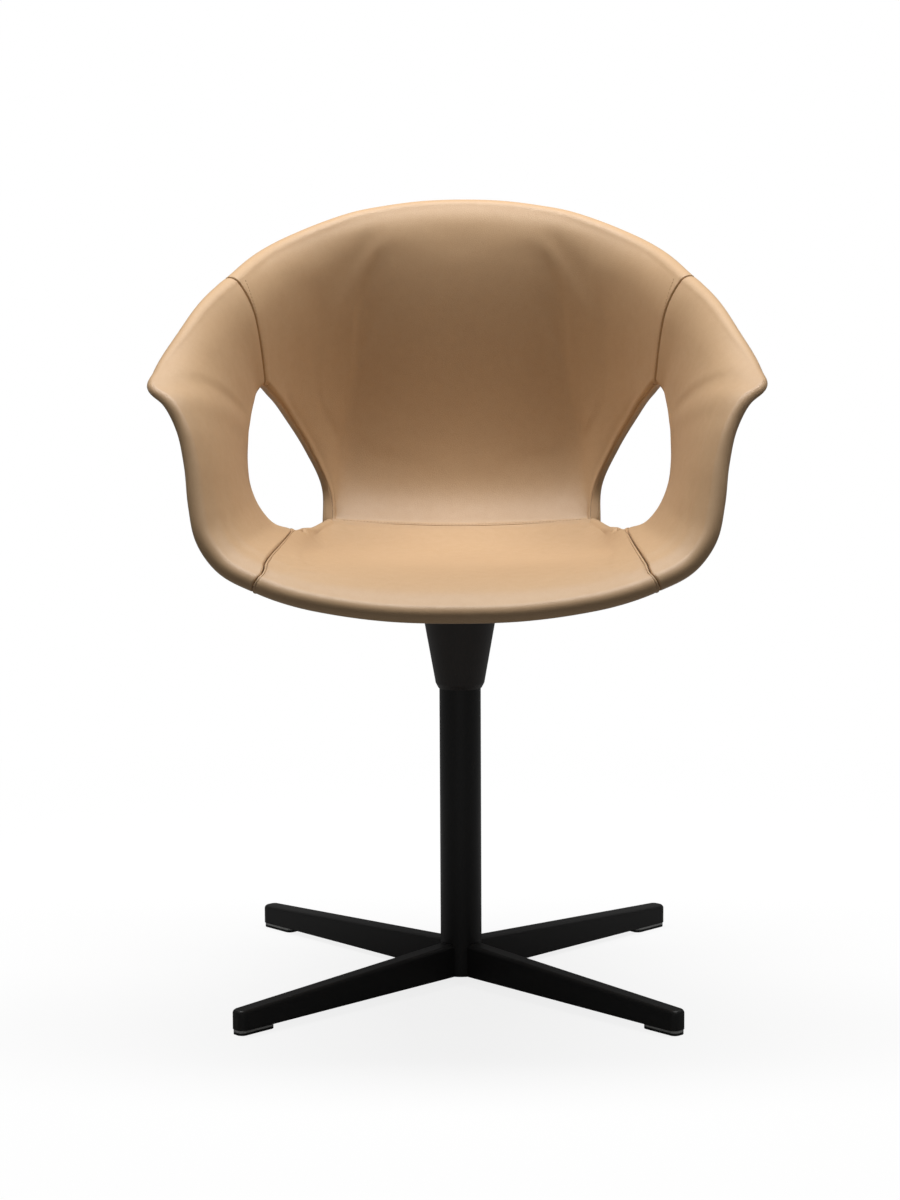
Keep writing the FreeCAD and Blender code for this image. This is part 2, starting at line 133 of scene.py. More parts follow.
def moulded(name, colour, roughness, grain):
    plastic = Finish(name)
    place = plastic.node("ShaderNodeTexCoord", {}, {}, "Object")
    spark = plastic.node("ShaderNodeTexNoise", {}, {"Vector": place, "Scale": 650.0, "Detail": 3.0})
    flow = plastic.node("ShaderNodeTexNoise", {}, {"Vector": place, "Scale": 30.0, "Detail": 2.0})
    darker = tuple(part * 0.82 for part in colour[:3]) + (1.0,)
    tone = plastic.node("ShaderNodeMix", {"data_type": "RGBA"}, {0: flow, 6: colour, 7: darker}, 2)
    bumps = plastic.node("ShaderNodeBump", {}, {"Strength": 0.4, "Distance": grain, "Height": spark})
    return plastic.shade({"Base Color": tone, "Roughness": spark * 0.12 + roughness, "Normal": bumps})


CORNERS = [name[len("foot_blade_"):] for name in BLADES]
# the carriers' pale grey is painted light, in place of light passing through clear plastic
dress(["glide_carrier_" + corner for corner in CORNERS],
      moulded("glide_clear", CARRIER_PAINTED_LIGHT_GREY, 0.22, 0.00002))
dress(["glide_pad_" + corner for corner in CORNERS], moulded("glide_sole", SOLE_GREY, 0.6, 0.00008))


# Column
# A plain round tube, powder coated like the foot, with a plastic cap pressed in below and
# a threaded steel plug on top. The seat turns on its upper end.
COLUMN_BLACK = (0.0120, 0.0116, 0.0115, 1.0)
STEEL_GREY = (0.42, 0.42, 0.43, 1.0)


def turned_steel(name, colour):
    steel = Finish(name)
    place = steel.node("ShaderNodeTexCoord", {}, {}, "Object")
    flat = steel.node("ShaderNodeMapping", {}, {"Vector": place, "Scale": (1.0, 1.0, 14.0)})
    marks = steel.node("ShaderNodeTexNoise", {}, {"Vector": flat, "Scale": 260.0, "Detail": 3.0})
    darker = tuple(part * 0.7 for part in colour[:3]) + (1.0,)
    tone = steel.node("ShaderNodeMix", {"data_type": "RGBA"}, {0: marks, 6: colour, 7: darker}, 2)
    bumps = steel.node("ShaderNodeBump", {}, {"Strength": 0.3, "Distance": 0.00004, "Height": marks})
    return steel.shade({"Base Color": tone, "Roughness": marks * 0.2 + 0.25, "Normal": bumps,
                        "Metallic": 1.0})


dress(["column_tube"], powder_coat("column_paint", COLUMN_BLACK, 0.36, 0.35))
dress(["column_foot_cap"], moulded("cap_plastic", SOLE_GREY, 0.5, 0.00006))
plated_steel = turned_steel("plated_steel", STEEL_GREY)
dress(["column_plug", "swivel_bolt", "bolt_washer", "housing_screws", "plate_screws"], plated_steel)


# Swivel
# The tapered housing is a turned part in a slightly warmer, lighter satin coat than the
# column. Bearing plastic sleeves run inside it, out of sight, and a steel plate with a
# moulded spacer carries the shell.
HOUSING_GREY = (0.0330, 0.0290, 0.0262, 1.0)
BEARING_WHITE = (0.78, 0.76, 0.70, 1.0)
SPACER_BLACK = (0.016, 0.016, 0.016, 1.0)

dress(["swivel_housing"], powder_coat("housing_paint", HOUSING_GREY, 0.42, 0.35))
dress(["seat_plate"], foot_paint)
dress(["seat_spacer"], moulded("spacer_plastic", SPACER_BLACK, 0.55, 0.00010))
dress(["bush_lower", "bush_upper", "thrust_washer"], moulded("bearing", BEARING_WHITE, 0.4, 0.00002))


# Moulded shell
# The hidden stiffener under the leather. It stays as the CAD has it, and only its dark
# edges could show down in a seam.
SHELL_BROWN = (0.085, 0.060, 0.042, 1.0)
dress(["shell_core"], moulded("shell_moulding", SHELL_BROWN, 0.7, 0.00010))


# Form of the upholstery
# The leather follows one smooth tub form. It is set out on planar ribs, the same as the
# shell under it: from the side opening or the seat seam out to the middle of the rolled
# rim. A row gives inner end, rim end and facing side, then rise, flare, reach of the flare,
# half thickness inside and at the rim, how deep the foam dips inside the rolled rim, and
# how far the leather stands out into the side opening.
SEAT_RIBS = [
    ((0, .162, .4415), (0, -.265, .4255), (0, 0, 1), (-22, -14, .33, .011, .0125, .0003, .008)),
    ((.0695, .161, .4435), (.0655, -.264, .4275), (0, 0, 1), (-22, -13, .33, .011, .0125, .0003, .008)),
    ((.1405, .152, .4515), (.1115, -.258, .4325), (0, 0, 1), (-20, -12, .33, .009, .0125, .0004, .0075)),
    ((.152, .102, .4495), (.1475, -.249, .4385), (-.15, 0, 1), (-10, -11, .33, .008, .0125, .0006, .008)),
    ((.1605, .046, .455), (.174, -.239, .4455), (-.3, 0, .95), (-3, -10, .33, .008, .0125, .0009, .008)),
]
ARM_RIBS = [
    ((.173, 0, .4605), (.1855, -.2335, .4495), (-.5, 0, .86), (2, -10, .33, .008, .0125, .0011, .008)),
    ((.1925, -.01, .469), (.219, -.219, .4655), (-.75, 0, .66), (8, -11, .33, .008, .0125, .0013, .008)),
    ((.2075, -.013, .4865), (.2345, -.209, .485), (-.92, 0, .38), (12, -12, .33, .008, .0125, .0014, .008)),
    ((.218, -.011, .51), (.243, -.193, .5155), (-1, 0, .1), (12, -11, .33, .008, .0125, .0014, .008)),
    ((.222, -.003, .536), (.2495, -.175, .5535), (-1, 0, .15), (9, -8, .3, .008, .0115, .0013, .008)),
    ((.2225, .01, .5575), (.2605, -.16, .5895), (-.97, 0, .25), (6, -9, .33, .008, .01, .001, .008)),
    ((.2225, .02, .5685), (.2765, -.149, .614), (-.93, 0, .36), (8, -18, .35, .008, .0085, .0006, .008)),
    ((.222, .03, .5755), (.2915, -.137, .6235), (-.88, 0, .47), (10, -28, .36, .008, .007, .0003, .008)),
    ((.2215, .042, .5835), (.2885, -.108, .6355), (-.87, 0, .5), (11, -27, .36, .008, .008, .0001, .008)),
    ((.22, .06, .5945), (.271, -.036, .6645), (-.88, -.1, .45), (11, -19, .35, .008, .0095, 0, .008)),
    ((.2175, .078, .6055), (.2495, .039, .6945), (-.85, -.35, .35), (9, -16, .33, .008, .011, 0, .008)),
]
BACK_RIBS = [
    ((.2095, .096, .614), (.231, .0845, .7105), (-.75, -.62, .2), (6, -16, .33, .008, .012, 0, .008)),
    ((.196, .122, .5985), (.198, .155, .7375), (-.6, -.78, .2), (2, -15, .33, .0068, .012, 0, .008)),
    ((.181, .154, .5705), (.169, .192, .7515), (-.45, -.87, .2), (-3, -14, .33, .006, .012, 0, .0068)),
    ((.162, .174, .5335), (.1395, .217, .763), (-.3, -.93, .2), (-11, -13, .33, .0058, .012, 0, .0052)),
    ((.1445, .175, .4925), (.1115, .235, .772), (-.2, -.96, .2), (-22, -13, .33, .006, .012, 0, .0038)),
    ((.1405, .152, .4515), (.0835, .249, .7775), (-.1, -.96, .2), (-50, -12, .33, .0075, .012, 0, .0035)),
    ((.0695, .161, .4435), (.042, .261, .7825), (0, -.96, .28), (-50, -13, .33, .011, .0125, 0, .008)),
    ((0, .162, .4415), (0, .265, .784), (0, -.96, .28), (-50, -13, .33, .011, .0125, 0, .008)),
]
RIGHT_HALF = SEAT_RIBS + ARM_RIBS + BACK_RIBS
SEAT_CORNER = 2
FRONT_SEAM = 5
BACK_SEAM = 16
BACK_CORNER = 21
MIDDLE = 23
ROW_GAP = 0.0055         # between rows of leather faces, measured at the rim
STATIONS = 44            # faces from the inner end to the rim
EASING = 60              # passes that even the tub out between the ribs
ARM_EASING = 3           # and of those, the ones that the arms take part in
LAYER = 0.0042           # from the middle of the shell to the leather's underside
LIP = 0.012              # how far the rolled rim laps round behind
ROLL_FLATTER = 0.50      # how much the rolled rim sinks on top
ROLL_DROP = 0.45         # how far down it is fullest
EDGE_SQUARE = 0.80       # how square the edge of an opening is, where 1 is round


def mirrored(rib):
    inner, rim, facing, sizes = rib
    return tuple((-p[0], p[1], p[2]) for p in (inner, rim, facing)) + (sizes,)


RING = RIGHT_HALF + [mirrored(rib) for rib in reversed(RIGHT_HALF[1:MIDDLE])]


def on_ring(values, i):
    return values[i % len(values)]


def along_rail(places, i, part, sharp=()):
    # a smooth line through the ribs' ends, which may turn sharply at some of them
    start, end = on_ring(places, i), on_ring(places, i + 1)
    step = end - start

    def heading(k):
        before = on_ring(places, k) - on_ring(places, k - 1)
        after = on_ring(places, k + 1) - on_ring(places, k)
        if k % len(places) in sharp:
            return step
        even = before.normalized() * after.length + after.normalized() * before.length
        return even.normalized() * step.length

    u, w = part, 1 - part
    return (start * (1 + 2 * u) * w * w + heading(i) * u * w * w
            + end * u * u * (3 - 2 * u) - heading(i + 1) * u * u * w)


def eased(values, i, part):
    before, start, end, after = (on_ring(values, i + k) for k in (-1, 0, 1, 2))
    u, w = part, 1 - part
    return (start * (1 + 2 * u) * w * w + (end - before) * 0.5 * u * w * w
            + end * u * u * (3 - 2 * u) - (after - start) * 0.5 * u * u * w)


class Rib:
    """A line across the leather, with a point and a facing at each of its stations."""

    def __init__(self, points, facings, sizes):
        self.points = points
        self.facings = facings
        self.half_in, self.half_rim, self.valley, self.edge = sizes
        self.dip = 0.0
        self.open = False

    def spot(self, place, height):
        # a point at a place along the rib, counted in stations, lifted off the middle layer
        k = min(max(int(place), 0), STATIONS - 1)
        point = self.points[k].lerp(self.points[k + 1], place - k)
        return point + self.facing(place) * height

    def facing(self, place):
        k = min(max(int(place), 0), STATIONS - 1)
        return self.facings[k].lerp(self.facings[k + 1], place - k).normalized()

    def from_inner(self, distance):
        return distance / (self.points[1] - self.points[0]).length

    def from_rim(self, distance):
        return STATIONS - distance / (self.points[-1] - self.points[-2]).length

    def half(self, place):
        return self.half_in + (self.half_rim - self.half_in) * place / STATIONS

    def round_rim(self, degrees, radius):
        # fullest low down, so that its top slopes forward
        across, out = math.cos(math.radians(degrees)), math.sin(math.radians(degrees))
        across *= 1 - ROLL_DROP if across < 0 else 1 + ROLL_DROP - ROLL_FLATTER
        return self.points[-1] + (self.facings[-1] * (across - ROLL_DROP) + self.past_rim * out) * radius

    def round_inner(self, degrees, radius):
        # a squarish round, as of an edge pulled tight over the shell
        across, out = math.cos(math.radians(degrees)), math.sin(math.radians(degrees))
        across = math.copysign(abs(across) ** EDGE_SQUARE, across)
        out = out ** EDGE_SQUARE * self.edge / self.half_in
        return self.points[0] + (self.facings[0] * across + self.past_inner * out) * radius


def planar_rib(inner, rim, facing, sizes):
    rise, flare, reach = sizes[:3]
    chord = rim - inner
    along = chord.normalized()
    face = (facing - along * along.dot(facing)).normalized()
    leave = along * math.cos(math.radians(rise)) + face * math.sin(math.radians(rise))
    arrive = along * math.cos(math.radians(flare)) + face * math.sin(math.radians(flare))
    b = inner + leave * chord.length / 3
    c = rim - arrive * chord.length * reach
    points = []
    for k in range(STATIONS + 1):
        t = k / STATIONS
        s = 1 - t
        points.append(inner * s ** 3 + b * 3 * s * s * t + c * 3 * s * t * t + rim * t ** 3)
    return Rib(points, [face] * (STATIONS + 1), sizes[3:])


def set_out_ribs():
    inner, rim, facing, sizes = ([Vector(rib[k]) for rib in RING] for k in range(4))
    count = len(RING)
    corners = {SEAT_CORNER, BACK_CORNER, count - SEAT_CORNER, count - BACK_CORNER}
    ribs, marks = [], []
    for i in range(count):
        gap = max((on_ring(rim, i + 1) - rim[i]).length, (on_ring(inner, i + 1) - inner[i]).length)
        steps = max(2, round(gap / ROW_GAP))
        marks.append(len(ribs))
        for k in range(steps):
            rib = planar_rib(along_rail(inner, i, k / steps, corners), along_rail(rim, i, k / steps),
                             eased(facing, i, k / steps), eased(sizes, i, k / steps))
            rib.arm = FRONT_SEAM <= i < BACK_SEAM or count - BACK_SEAM <= i < count - FRONT_SEAM
            ribs.append(rib)
    return ribs, marks


def laid_net(rows):
    # a grid of faces laid through rows of places
    mesh = bmesh.new()
    mesh.verts.layers.deform.verify()
    grid = bmesh.ops.create_grid(mesh, x_segments=len(rows[0]) - 1, y_segments=len(rows) - 1, size=1.0)
    verts = sorted(grid["verts"], key=lambda v: (round(v.co.y, 5), v.co.x))
    for vert, place in zip(verts, [place for row in rows for place in row]):
        vert.co = place
    width = len(rows[0])
    return mesh, [verts[i * width:(i + 1) * width] for i in range(len(rows))]


def ease_form(ribs):
    # even the tub out between the ribs: the rim, the openings and their slopes stay
    mesh, verts = laid_net([rib.points for rib in ribs + ribs[:1]])
    bmesh.ops.weld_verts(mesh, targetmap=dict(zip(verts[-1], verts[0])))
    verts.pop()
    for turn in range(EASING):
        loose = [row for rib, row in zip(ribs, verts) if turn < ARM_EASING or not rib.arm]
        bmesh.ops.smooth_vert(mesh, verts=[vert for row in loose for vert in row[2:-3]], factor=0.5,
                              use_axis_x=True, use_axis_y=True, use_axis_z=True)
    mesh.normal_update()
    for rib, row in zip(ribs, verts):
        rib.points = [vert.co.copy() for vert in row]
        rib.facings = [vert.normal * (1 if vert.normal.dot(rib.facings[0]) > 0 else -1) for vert in row]
    mesh.free()


def find_edges(ribs, seat_corner, back_corner):
    # which way each rib's ends look out of the leather, and which of them lie on an opening
    count = len(ribs)
    for k, rib in enumerate(ribs):
        nearest = min(k, count - k)
        rib.open = seat_corner <= nearest <= back_corner
        first, last = k - 1, k + 1
        if nearest in (seat_corner, back_corner):
            right = k < count // 2
            first = k if (nearest == seat_corner) == right else k - 1
            last = first + 1
        inner_run = on_ring(ribs, last).points[0] - on_ring(ribs, first).points[0]
        rim_run = on_ring(ribs, k + 1).points[-1] - on_ring(ribs, k - 1).points[-1]
        rib.past_inner = rib.facings[0].cross(inner_run).normalized()
        rib.past_rim = rim_run.cross(rib.facings[-1]).normalized()


ribs, marks = set_out_ribs()
ease_form(ribs)
front_seam, back_seam = marks[FRONT_SEAM], marks[BACK_SEAM]
seat_corner, back_corner = marks[SEAT_CORNER], marks[BACK_CORNER]
find_edges(ribs, seat_corner, back_corner)


# Leather
# Fine-grained tan hide, through-dyed: small pebbles, faint clouds of tone and a soft sheen.
# The creases between the pebbles are darkened with painted shade. The same hide covers every panel.
HIDE_LIGHT = (0.545, 0.365, 0.207, 1.0)
HIDE_DARK_MOTTLE_AND_SHADE = (0.455, 0.285, 0.150, 1.0)


def hide(name, light, dark):
    skin = Finish(name)
    place = skin.node("ShaderNodeTexCoord", {}, {}, "Object")
    pebbles = skin.node("ShaderNodeTexVoronoi", {"feature": "DISTANCE_TO_EDGE"},
                        {"Vector": place, "Scale": 620.0, "Randomness": 1.0})
    creases = pebbles.worked("MINIMUM", pebbles * 6.0, 1.0)
    pores = skin.node("ShaderNodeTexNoise", {}, {"Vector": place, "Scale": 900.0, "Detail": 2.0})
    clouds = skin.node("ShaderNodeTexNoise", {}, {"Vector": place, "Scale": 7.0, "Detail": 4.0})
    patches = skin.node("ShaderNodeTexNoise", {}, {"Vector": place, "Scale": 110.0, "Detail": 3.0})
    # the crease term paints shade into the grain's creases, on top of the random clouds of tone
    shade = clouds * 0.55 + patches * 0.35 + (1 - creases) * 0.30 - 0.10
    tone = skin.node("ShaderNodeMix", {"data_type": "RGBA"}, {0: shade, 6: light, 7: dark}, 2)
    height = creases * 0.6 + pores * 0.25 + patches * 0.5
    bumps = skin.node("ShaderNodeBump", {}, {"Strength": 0.45, "Distance": 0.00016, "Height": height})
    return skin.shade({"Base Color": tone, "Roughness": patches * 0.12 + 0.42, "Normal": bumps,
                       "Specular IOR Level": 0.42, "Sheen Weight": 0.04, "Sheen Roughness": 0.5})


tan_leather = hide("tan_leather", HIDE_LIGHT, HIDE_DARK_MOTTLE_AND_SHADE)


# Sewn edges
# Panels are sewn edge to edge with their edges turned down. On the seat's side of the front
# seams the edge is folded back and topstitched, so it stands up as a narrow bead. A profile
# gives the dip of the leather at each of a few steps away from the seam.
SEAM_STEPS = (0.0002, 0.0006, 0.0010, 0.0016, 0.0022, 0.0027, 0.0031, 0.0035, 0.0042, 0.0056)
FOLDED = (0.0036, 0.0006, -0.0003, -0.0006, -0.0006, -0.0001, 0.0006, 0.0002, 0.0, 0.0)
TUCKED = (0.0036, 0.0018, 0.0009, 0.0004, 0.0001, 0.0, 0.0, 0.0, 0.0, 0.0)
TURNED_DOWN = (0.0042, 0.0029, 0.0014, 0.0004, 0.0001, 0.0, 0.0, 0.0, 0.0, 0.0)
TOPSTITCHED = (0.0042, 0.0029, 0.0014, 0.0002, -0.0002, -0.0001, 0.0001, 0.0005, 0.0001, 0.0)
CLOSE_SEWN = (0.0012, 0.0003, 0.0001, 0.0, 0.0, 0.0, 0.0, 0.0, 0.0, 0.0)
SEAM_CLEAR = 0.009


def far_ribs(start, way):
    # how far each station of the following ribs is from the seam
    reach = [[0.0] * (STATIONS + 1)]
    k = start
    while min(reach[-1]) < SEAM_CLEAR:
        here, there = on_ring(ribs, k), on_ring(ribs, k + way)
        gaps = [(q - p).length for p, q in zip(here.points, there.points)]
        reach.append([a + b for a, b in zip(reach[-1], gaps)])
        k += way
    return reach, k


def row_beside(start, way, reach, distances):
    # a row at given distances from the seam, one for each station
    points, facings = [], []
    for j, distance in enumerate(distances):
        n = 0
        while n < len(reach) - 2 and reach[n + 1][j] < distance:
            n += 1
        part = (distance - reach[n][j]) / (reach[n + 1][j] - reach[n][j])
        near, far = on_ring(ribs, start + way * n), on_ring(ribs, start + way * (n + 1))
        points.append(near.points[j].lerp(far.points[j], part))
        facings.append(near.facings[j].lerp(far.facings[j], part).normalized())
    seam = on_ring(ribs, start)
    row = Rib(points, facings, (seam.half_in, seam.half_rim, seam.valley, seam.edge))
    row.open, row.past_inner, row.past_rim = seam.open, seam.past_inner, seam.past_rim
    return row


def rows_from_seam(start, way, profile):
    # close rows beside a seam, easing out into the ribs, and the first rib that is left whole
    reach, end = far_ribs(start, way)
    rows = []
    for step, fall in zip(SEAM_STEPS, profile):
        rows.append(row_beside(start, way, reach, [step] * (STATIONS + 1)))
        rows[-1].dip = fall
    spare = max(reach[-1]) - SEAM_STEPS[-1]
    count = max(1, int(spare / ROW_GAP))
    for n in range(1, count):
        distances = [SEAM_STEPS[-1] + (far - SEAM_STEPS[-1]) * n / count for far in reach[-1]]
        rows.append(row_beside(start, way, reach, distances))
    return rows, end


def seam_to_seam(first, first_profile, last, last_profile):
    near, start = rows_from_seam(first, 1, first_profile)
    far, end = rows_from_seam(last, -1, last_profile)
    return near + [on_ring(ribs, k) for k in range(start, end + 1)] + far[::-1]


seat_rows = seam_to_seam(-front_seam, FOLDED, front_seam, FOLDED)
arm_right_rows = seam_to_seam(front_seam, TUCKED, back_seam, TURNED_DOWN)
arm_left_rows = seam_to_seam(-back_seam, TURNED_DOWN, -front_seam, TUCKED)
back_rows = seam_to_seam(back_seam, TOPSTITCHED, len(ribs) - back_seam, TOPSTITCHED)


# Padded panels
# Seat, back and two arms are separate padded panels of hide over foam, pulled tight on the
# shell. Each has a soft roll round its rim, with a faint valley behind it, and small puckers
# where the back is drawn round the lower corners of the openings.
ROLL_ANGLES = tuple(range(15, 181, 15))
SHELL_SIDE = 8           # columns of faces down the side that lies on the shell
TUCK = 0.0008            # how far the turned edge stands back under the seat seam
OPENING_TUCK = 0.002     # how far the leather's underside laps over the shell at an opening
LIP_TUCK = 0.45          # where the lip turns in to the shell, as a part of its half thickness
ROLL_REACH = 0.042
VALLEY_FROM_RIM = 0.029
VALLEY_WIDTH = 0.008
PUCKER_DEPTH = 0.0005
PUCKER_FADE = 0.016      # how far from the corner the puckers are deepest, and how fast they go
PUCKER_REACH = 0.075
PUCKER_FAN = 11.0        # turns of phase round the corner and along each crease
PUCKER_LEAN = 60.0
FOAM_PRESSURE = 1.5
FOAM_FRAMES = 20
MOST_SWELL = 0.0006      # the hide is taut, so no point moves more than this
HELD_ROWS = 12.0         # rows from a seam, and columns from an edge, until the hide is free
HELD_COLUMNS = 8.0


def relief(rib, place):
    # the foam slopes down on to the rolled rim, with a soft valley as deep as the rib says
    from_rim = (rib.points[-1] - rib.spot(place, 0.0)).length
    dip = math.exp(-((from_rim - VALLEY_FROM_RIM) / VALLEY_WIDTH) ** 2)
    slope = max(0.0, 1 - from_rim / ROLL_REACH) ** 2
    return -rib.valley * dip - rib.half_rim * ROLL_FLATTER * slope


def pucker(spot):
    # creases that fan out of the opening's lower corner, dying away into the panel
    corner = on_ring(ribs, seat_corner).points[0]
    away = Vector((abs(spot.x), spot.y, spot.z)) - corner
    if away.length < 0.001 or away.length > PUCKER_REACH:
        return 0.0
    fan = math.atan2(away.z, -away.x)
    fade = math.exp(-((away.length - PUCKER_FADE) / PUCKER_FADE) ** 2)
    return PUCKER_DEPTH * fade * math.sin(fan * PUCKER_FAN + away.length * PUCKER_LEAN)


def edge_wedge(rib):
    # the angle at which the round of an opening's edge meets the shell's face
    return math.degrees(math.acos((LAYER / rib.half_in) ** (1 / EDGE_SQUARE)))


def inner_edge(rib, side):
    # the turned edge: straight down beside the seat seam, rounded at a side opening
    columns = []
    wedge = edge_wedge(rib)
    last = len(SEAM_STEPS) - 1
    for n, (step, fall) in enumerate(zip(SEAM_STEPS, CLOSE_SEWN)):
        if rib.open:
            around = wedge * (1 - n / last)
            columns.append(rib.round_inner(around if side > 0 else 180 - around, rib.half_in - rib.dip))
        else:
            columns.append(rib.spot(rib.from_inner(step), side * (rib.half_in - max(fall, rib.dip))))
    return columns


def inner_return(rib, side):
    if rib.open:
        return rib.points[0] + rib.past_inner * OPENING_TUCK + rib.facings[0] * side * LAYER
    return rib.spot(rib.from_inner(TUCK), side * LAYER)


def shell_side(rib, stop, side):
    # the flat underside, from the rim back to the inner end
    return [rib.spot(stop * (1 - n / SHELL_SIDE), side * LAYER) for n in range(SHELL_SIDE)]


def padded_section(rib):
    columns = inner_edge(rib, 1)
    for place in range(1, STATIONS + 1):
        height = rib.half(place) - rib.dip + relief(rib, place)
        columns.append(rib.spot(place, height + pucker(rib.points[place])))
    columns += [rib.round_rim(angle, rib.half_rim - rib.dip) for angle in ROLL_ANGLES]
    for step, fall in reversed(list(zip(SEAM_STEPS, TURNED_DOWN))):
        place = rib.from_rim(LIP - step)
        columns.append(rib.spot(place, -(rib.half(place) - max(fall, rib.dip))))
    stop = rib.from_rim(LIP)
    columns.append(rib.spot(stop, -rib.half(stop) * LIP_TUCK))
    columns += shell_side(rib, stop, 1)
    columns.append(inner_return(rib, 1))
    return columns


def padded_holds(count, from_end):
    # how firmly each column is held while the foam fills the panel: its sewn edges and the
    # side on the shell stay, and the rest is free
    ends = max(0.0, 1.0 - from_end / HELD_ROWS)
    first = len(SEAM_STEPS) + 2
    last = first + STATIONS + 3
    holds = []
    for column in range(count):
        edge = min(column - first, last - column)
        holds.append(min(1.0, max(ends, 1.0 - edge / HELD_COLUMNS)))
    return holds


def sewn_object(name, sections, holds=()):
    # closes the sections into one skin, with a flat end at each seam
    mesh, verts = laid_net([section + section[:1] for section in sections])
    for row, weights in zip(verts, holds):
        for vert, weight in zip(row, weights):
            vert[mesh.verts.layers.deform[0]][0] = weight
    bmesh.ops.weld_verts(mesh, targetmap={row[-1]: row[0] for row in verts})
    bmesh.ops.holes_fill(mesh, edges=[edge for edge in mesh.edges if edge.is_boundary], sides=0)
    bmesh.ops.recalc_face_normals(mesh, faces=mesh.faces)
    for face in mesh.faces:
        face.smooth = True
    piece = bpy.data.objects.new(name, bpy.data.meshes.new(name))
    mesh.to_mesh(piece.data)
    mesh.free()
    piece.data.materials.append(tan_leather)
    bpy.context.collection.objects.link(piece)
    return piece


def refine(piece):
    finer = piece.modifiers.new("finer", "SUBSURF")
    finer.levels = 1
    finer.render_levels = 1


def upholster(piece, node):
    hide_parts(node)
    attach(piece, "seat")


def fill_with_foam(piece):
    # cloth under foam pressure, held along its seams and against the shell
    held = piece.vertex_groups.new(name="held")
    cloth = piece.modifiers.new("foam", "CLOTH")
    cloth.settings.use_pressure = True
    cloth.settings.uniform_pressure_force = FOAM_PRESSURE
    cloth.settings.effector_weights.gravity = 0
    cloth.settings.vertex_group_mass = held.name
    cloth.settings.quality = 5
    cloth.settings.tension_stiffness = 60
    cloth.settings.compression_stiffness = 60
    cloth.settings.shear_stiffness = 30
    cloth.settings.bending_stiffness = 8
    cloth.collision_settings.use_collision = False
    cloth.point_cache.frame_start = 1
    cloth.point_cache.frame_end = FOAM_FRAMES
    for step in range(1, FOAM_FRAMES + 1):
        bpy.context.scene.frame_set(step)
    swollen = piece.evaluated_get(bpy.context.evaluated_depsgraph_get())
    shape = swollen.to_mesh()
    ends = [vert.co.copy() for vert in shape.vertices]
    swollen.to_mesh_clear()
    piece.modifiers.remove(cloth)
    for vert, end in zip(piece.data.vertices, ends):
        weight = sum(group.weight for group in vert.groups)
        move = end - vert.co
        if move.length > MOST_SWELL:
            move = move.normalized() * MOST_SWELL
        vert.co = vert.co + move * (1 - min(weight, 1.0))
    piece.vertex_groups.remove(held)
    bpy.context.scene.frame_set(1)


def padded_panel(name, rows, node):
    sections = [padded_section(rib) for rib in rows]
    holds = []
    for n, section in enumerate(sections):
        from_end = min(n, len(rows) - 1 - n) - len(SEAM_STEPS)
        holds.append(padded_holds(len(section), from_end))
    piece = sewn_object(name, sections, holds)
    fill_with_foam(piece)
    refine(piece)
    upholster(piece, node)


padded_panel("seat_leather", seat_rows, "seat_pad")
padded_panel("arm_leather_right", arm_right_rows, "arm_pad_right")
padded_panel("arm_leather_left", arm_left_rows, "arm_pad_left")
padded_panel("back_leather", back_rows, "back_pad")


# Stitching
# Tan thread, a little darker than the hide. It runs along the folded edges of the front
# seams, beside the back's seams, and above the seat's rear seam.
THREAD_TAN = (0.36, 0.225, 0.12, 1.0)
STITCH_PITCH = 0.0036
STITCH_LENGTH = 0.0026
THREAD_R = 0.00032
FOLDED_LINE = (0.0031, 0.0005)        # from the seam, and below the leather's face
TOPSTITCHED_LINE = (0.0035, 0.0004)
SEAT_LINE = 0.0032


def thread_finish():
    thread = Finish("tan_thread")
    place = thread.node("ShaderNodeTexCoord", {}, {}, "Object")
    twist = thread.node("ShaderNodeTexNoise", {}, {"Vector": place, "Scale": 1500.0})
    paler = tuple(part * 1.3 for part in THREAD_TAN[:3]) + (1.0,)
    tone = thread.node("ShaderNodeMix", {"data_type": "RGBA"}, {0: twist, 6: THREAD_TAN, 7: paler}, 2)
    return thread.shade({"Base Color": tone, "Roughness": twist * 0.1 + 0.5})


tan_thread = thread_finish()


def stitched_line(name, line):
    # equal stitches along a line of points, each with the leather's facing
    mesh = bmesh.new()
    due = STITCH_PITCH / 2
    for (start, facing), (end, _) in zip(line, line[1:]):
        run = (end - start).length
        ahead = (end - start).normalized()
        side = facing.cross(ahead).normalized()
        up = ahead.cross(side)
        while due < run:
            middle = start + ahead * due
            turned = Matrix((ahead, side, up)).transposed().to_4x4()
            sizes = Matrix.Diagonal((STITCH_LENGTH / 2, THREAD_R, THREAD_R, 1.0))
            bmesh.ops.create_uvsphere(mesh, u_segments=6, v_segments=5, radius=1.0,
                                      matrix=Matrix.Translation(middle) @ turned @ sizes)
            due += STITCH_PITCH
        due -= run
    for face in mesh.faces:
        face.smooth = True
    piece = bpy.data.objects.new(name, bpy.data.meshes.new(name))
    mesh.to_mesh(piece.data)
    mesh.free()
    piece.data.materials.append(tan_thread)
    bpy.context.collection.objects.link(piece)
    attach(piece, "seat")


def line_beside(start, way, distance, fall):
    reach = far_ribs(start, way)[0]
    row = row_beside(start, way, reach, [distance] * (STATIONS + 1))
    line = []
    for place in range(1, STATIONS + 1):
        line.append((row.spot(place, row.half(place) - fall), row.facing(place)))
    return line


for side, turn in (("right", 1), ("left", -1)):
    stitched_line("front_stitches_" + side, line_beside(turn * front_seam, -turn, *FOLDED_LINE))
    stitched_line("back_stitches_" + side, line_beside(turn * back_seam, turn, *TOPSTITCHED_LINE))
seat_line = []
for k in range(back_corner + 2, len(ribs) - back_corner - 1):
    place = ribs[k].from_inner(SEAT_LINE)
    seat_line.append((ribs[k].spot(place, ribs[k].half_in), ribs[k].facing(place)))
stitched_line("seat_stitches", seat_line)


